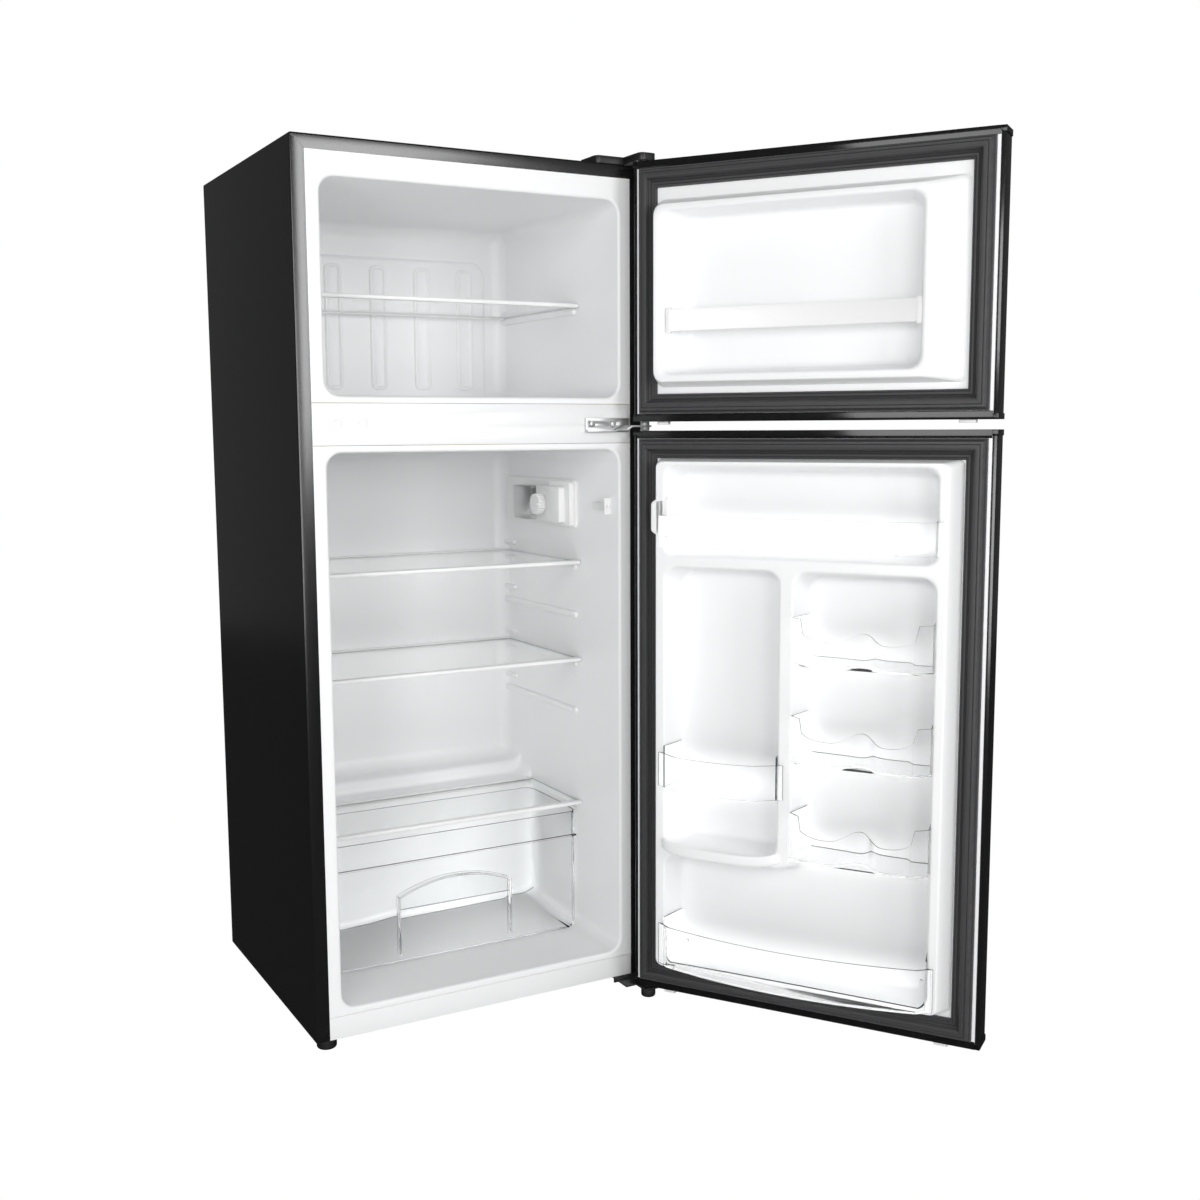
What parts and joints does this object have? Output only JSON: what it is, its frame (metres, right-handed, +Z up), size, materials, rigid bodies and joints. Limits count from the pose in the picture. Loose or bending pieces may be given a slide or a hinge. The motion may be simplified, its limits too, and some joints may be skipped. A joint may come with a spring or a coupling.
{
  "type": "top freezer refrigerator",
  "caption": "Free-standing refrigerator with a freezer compartment over a fresh-food compartment, both doors hinged on the right and open, clear door bins, glass shelves and a crisper drawer.",
  "frame": {"origin": "bottom centre of the box around the stored pose, on the floor that the feet stand on", "axes": "+Z up, -Y towards the front of the cabinet, +X towards the hinge side; both doors are stored open by 123.5 degrees"},
  "size_m": [0.9288, 1.0841, 1.426],
  "materials": {
    "black_steel": "satin black enamel with a fine orange-peel",
    "dark_back": "matt black pre-painted sheet",
    "galvanised": "zinc-plated steel",
    "foam": "cut polyurethane foam",
    "liner_white": "satin vacuum-formed sheet",
    "rail_white": "white enamel",
    "part_white": "moulded, satin",
    "aluminium": "rolled plate",
    "machine_black": "semi-gloss black dip paint",
    "black_rubber": "matt",
    "black_plastic": "fine grain",
    "cap_black": "polished moulding",
    "copper": "drawn copper tube, lightly tarnished",
    "lamp_clear": "frosted diffuser",
    "shelf_glass": "tempered float glass",
    "clear_plastic": "clear polystyrene",
    "gasket_grey": "soft matt extrusion"
  },
  "bodies": {
    "cabinet": {"cabinet_shell": "black_steel", "back_panel": "dark_back", "base_pan": "galvanised", "cabinet_foam": "foam", "freezer_liner": "liner_white", "fridge_liner": "liner_white", "mullion_rail": "rail_white", "mullion_plugs": "part_white", "sill_rail": "rail_white", "freezer_evaporator": "aluminium", "compressor": "machine_black", "compressor_grommets": "black_rubber", "terminal_box": "black_plastic", "condenser": "machine_black", "condenser_brackets": "machine_black", "refrigerant_tubes": "copper", "drip_tray": "black_plastic", "rear_feet": "black_rubber", "top_hinge": "galvanised", "hinge_cover": "black_plastic", "middle_hinge": "galvanised", "bottom_hinge": "galvanised", "hinge_screws": "galvanised", "thermostat_housing": "part_white", "lamp_cover": "lamp_clear", "switch_housing": "part_white"},
    "freezer_door": {"freezer_door_skin": "black_steel", "freezer_door_foam": "foam", "freezer_door_liner": "liner_white", "freezer_door_gasket": "gasket_grey", "freezer_door_top_cap": "cap_black", "freezer_door_bottom_cap": "cap_black", "freezer_door_bar": "part_white", "freezer_door_stops": "part_white"},
    "fridge_door": {"fridge_door_skin": "black_steel", "fridge_door_foam": "foam", "fridge_door_liner": "liner_white", "fridge_door_gasket": "gasket_grey", "fridge_door_top_cap": "cap_black", "fridge_door_bottom_cap": "cap_black", "fridge_door_stops": "part_white"},
    "guard": {"top_guard": "clear_plastic"},
    "retainer": {"bottle_retainer": "clear_plastic"},
    "rack_top": {"can_rack_top": "clear_plastic"},
    "rack_middle": {"can_rack_middle": "clear_plastic"},
    "rack_bottom": {"can_rack_bottom": "clear_plastic"},
    "bin": {"bottom_bin": "clear_plastic"},
    "freezer_shelf": {"freezer_shelf_glass": "shelf_glass", "freezer_shelf_trim": "part_white"},
    "upper_shelf": {"upper_shelf_glass": "shelf_glass", "upper_shelf_trim": "part_white"},
    "lower_shelf": {"lower_shelf_glass": "shelf_glass", "lower_shelf_trim": "part_white"},
    "crisper_cover": {"crisper_cover_glass": "shelf_glass", "crisper_cover_trim": "part_white"},
    "drawer": {"crisper_drawer": "clear_plastic"},
    "knob": {"thermostat_knob": "part_white"},
    "plunger": {"switch_plunger": "part_white"},
    "foot_left": {"front_foot_left": "black_rubber"},
    "foot_right": {"front_foot_right": "black_rubber"}
  },
  "joints": [
    {"name": "freezer_door_hinge", "type": "hinge", "parent": "cabinet", "child": "freezer_door", "pos_m": [0.1186, -0.0431, 1.2], "axis": [0, 0, 1], "range_deg": [-123.5, 11.5]},
    {"name": "fridge_door_hinge", "type": "hinge", "parent": "cabinet", "child": "fridge_door", "pos_m": [0.1186, -0.0431, 0.5], "axis": [0, 0, 1], "range_deg": [-123.5, 11.5]},
    {"name": "guard_lift", "type": "slide", "parent": "fridge_door", "child": "guard", "axis": [0, 0, 1], "range_m": [0, 0.02]},
    {"name": "retainer_lift", "type": "slide", "parent": "fridge_door", "child": "retainer", "axis": [0, 0, 1], "range_m": [0, 0.02]},
    {"name": "rack_top_lift", "type": "slide", "parent": "fridge_door", "child": "rack_top", "axis": [0, 0, 1], "range_m": [0, 0.02]},
    {"name": "rack_middle_lift", "type": "slide", "parent": "fridge_door", "child": "rack_middle", "axis": [0, 0, 1], "range_m": [0, 0.02]},
    {"name": "rack_bottom_lift", "type": "slide", "parent": "fridge_door", "child": "rack_bottom", "axis": [0, 0, 1], "range_m": [0, 0.02]},
    {"name": "bin_lift", "type": "slide", "parent": "fridge_door", "child": "bin", "axis": [0, 0, 1], "range_m": [0, 0.02]},
    {"name": "freezer_shelf_slide", "type": "slide", "parent": "cabinet", "child": "freezer_shelf", "axis": [0, -1, 0], "range_m": [0, 0.17]},
    {"name": "upper_shelf_slide", "type": "slide", "parent": "cabinet", "child": "upper_shelf", "axis": [0, -1, 0], "range_m": [0, 0.17]},
    {"name": "lower_shelf_slide", "type": "slide", "parent": "cabinet", "child": "lower_shelf", "axis": [0, -1, 0], "range_m": [0, 0.17]},
    {"name": "crisper_cover_slide", "type": "slide", "parent": "cabinet", "child": "crisper_cover", "axis": [0, -1, 0], "range_m": [0, 0.14]},
    {"name": "drawer_slide", "type": "slide", "parent": "cabinet", "child": "drawer", "axis": [0, -1, 0], "range_m": [0, 0.18]},
    {"name": "knob_turn", "type": "hinge", "parent": "cabinet", "child": "knob", "pos_m": [0.0696, 0.2439, 0.846], "axis": [-1, 0, 0], "range_deg": [0, 270]},
    {"name": "plunger_press", "type": "slide", "parent": "cabinet", "child": "plunger", "axis": [0, 1, 0], "range_m": [0, 0.006], "stiffness_N_per_m": 150},
    {"name": "foot_left_turn", "type": "hinge", "parent": "cabinet", "child": "foot_left", "pos_m": [-0.4374, 0.0249, 0.012], "axis": [0, 0, 1], "continuous": true},
    {"name": "foot_right_turn", "type": "hinge", "parent": "cabinet", "child": "foot_right", "pos_m": [0.1156, -0.0581, 0.008], "axis": [0, 0, 1], "continuous": true}
  ]
}
